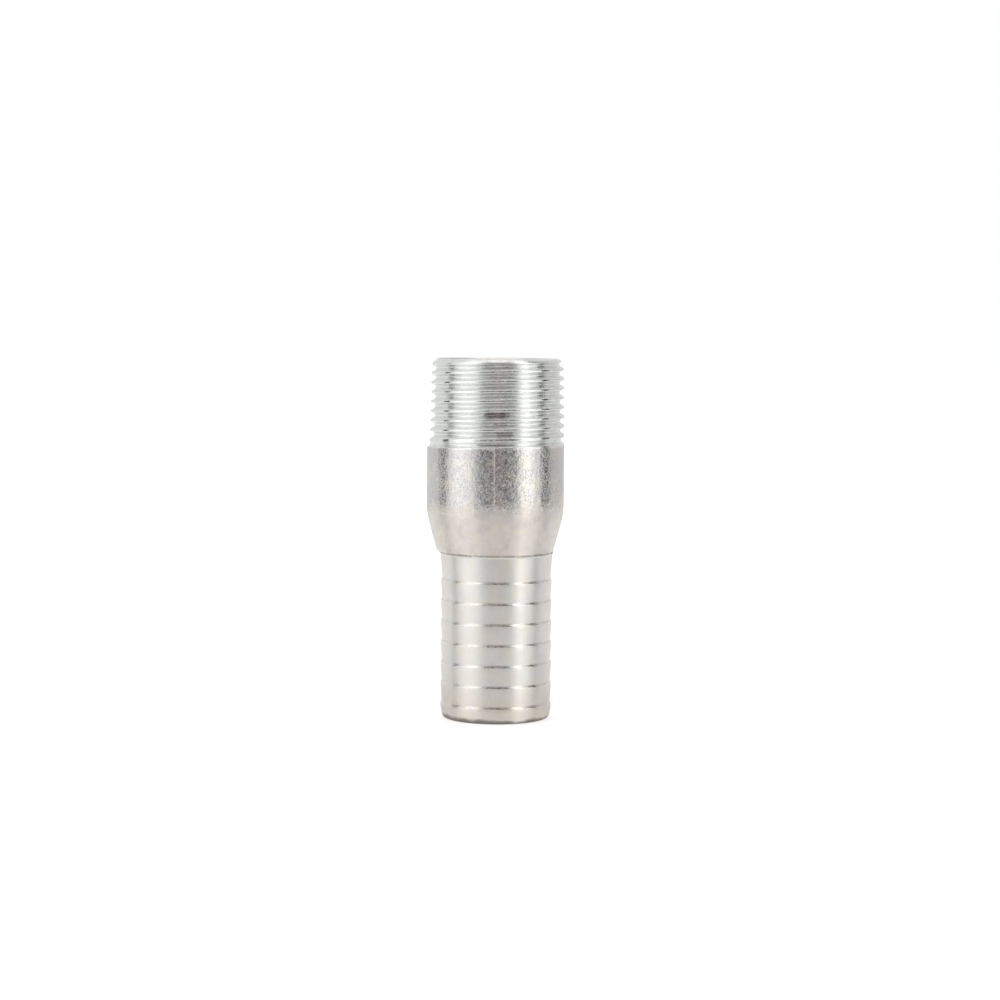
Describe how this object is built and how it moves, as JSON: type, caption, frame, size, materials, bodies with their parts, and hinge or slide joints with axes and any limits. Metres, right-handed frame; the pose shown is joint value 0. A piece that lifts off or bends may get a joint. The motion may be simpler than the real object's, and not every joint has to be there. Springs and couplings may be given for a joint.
{
  "type": "swaged hose nipple",
  "caption": "Steel pipe nipple with a male taper pipe thread at one end and a swaged, ridged shank for a hose at the other.",
  "frame": {"origin": "centre of the hose end face, on the axis that the shank and the thread are turned on", "axes": "+Z along the axis, from the hose end up to the threaded end; X and Y across it"},
  "size_m": [0.0337, 0.0338, 0.0883],
  "materials": {
    "zinc_plated_steel": "bright zinc plate: raw pipe texture on the body, fine turning lines on the shank"
  },
  "bodies": {
    "root": {"hose_nipple": "zinc_plated_steel"}
  },
  "joints": []
}
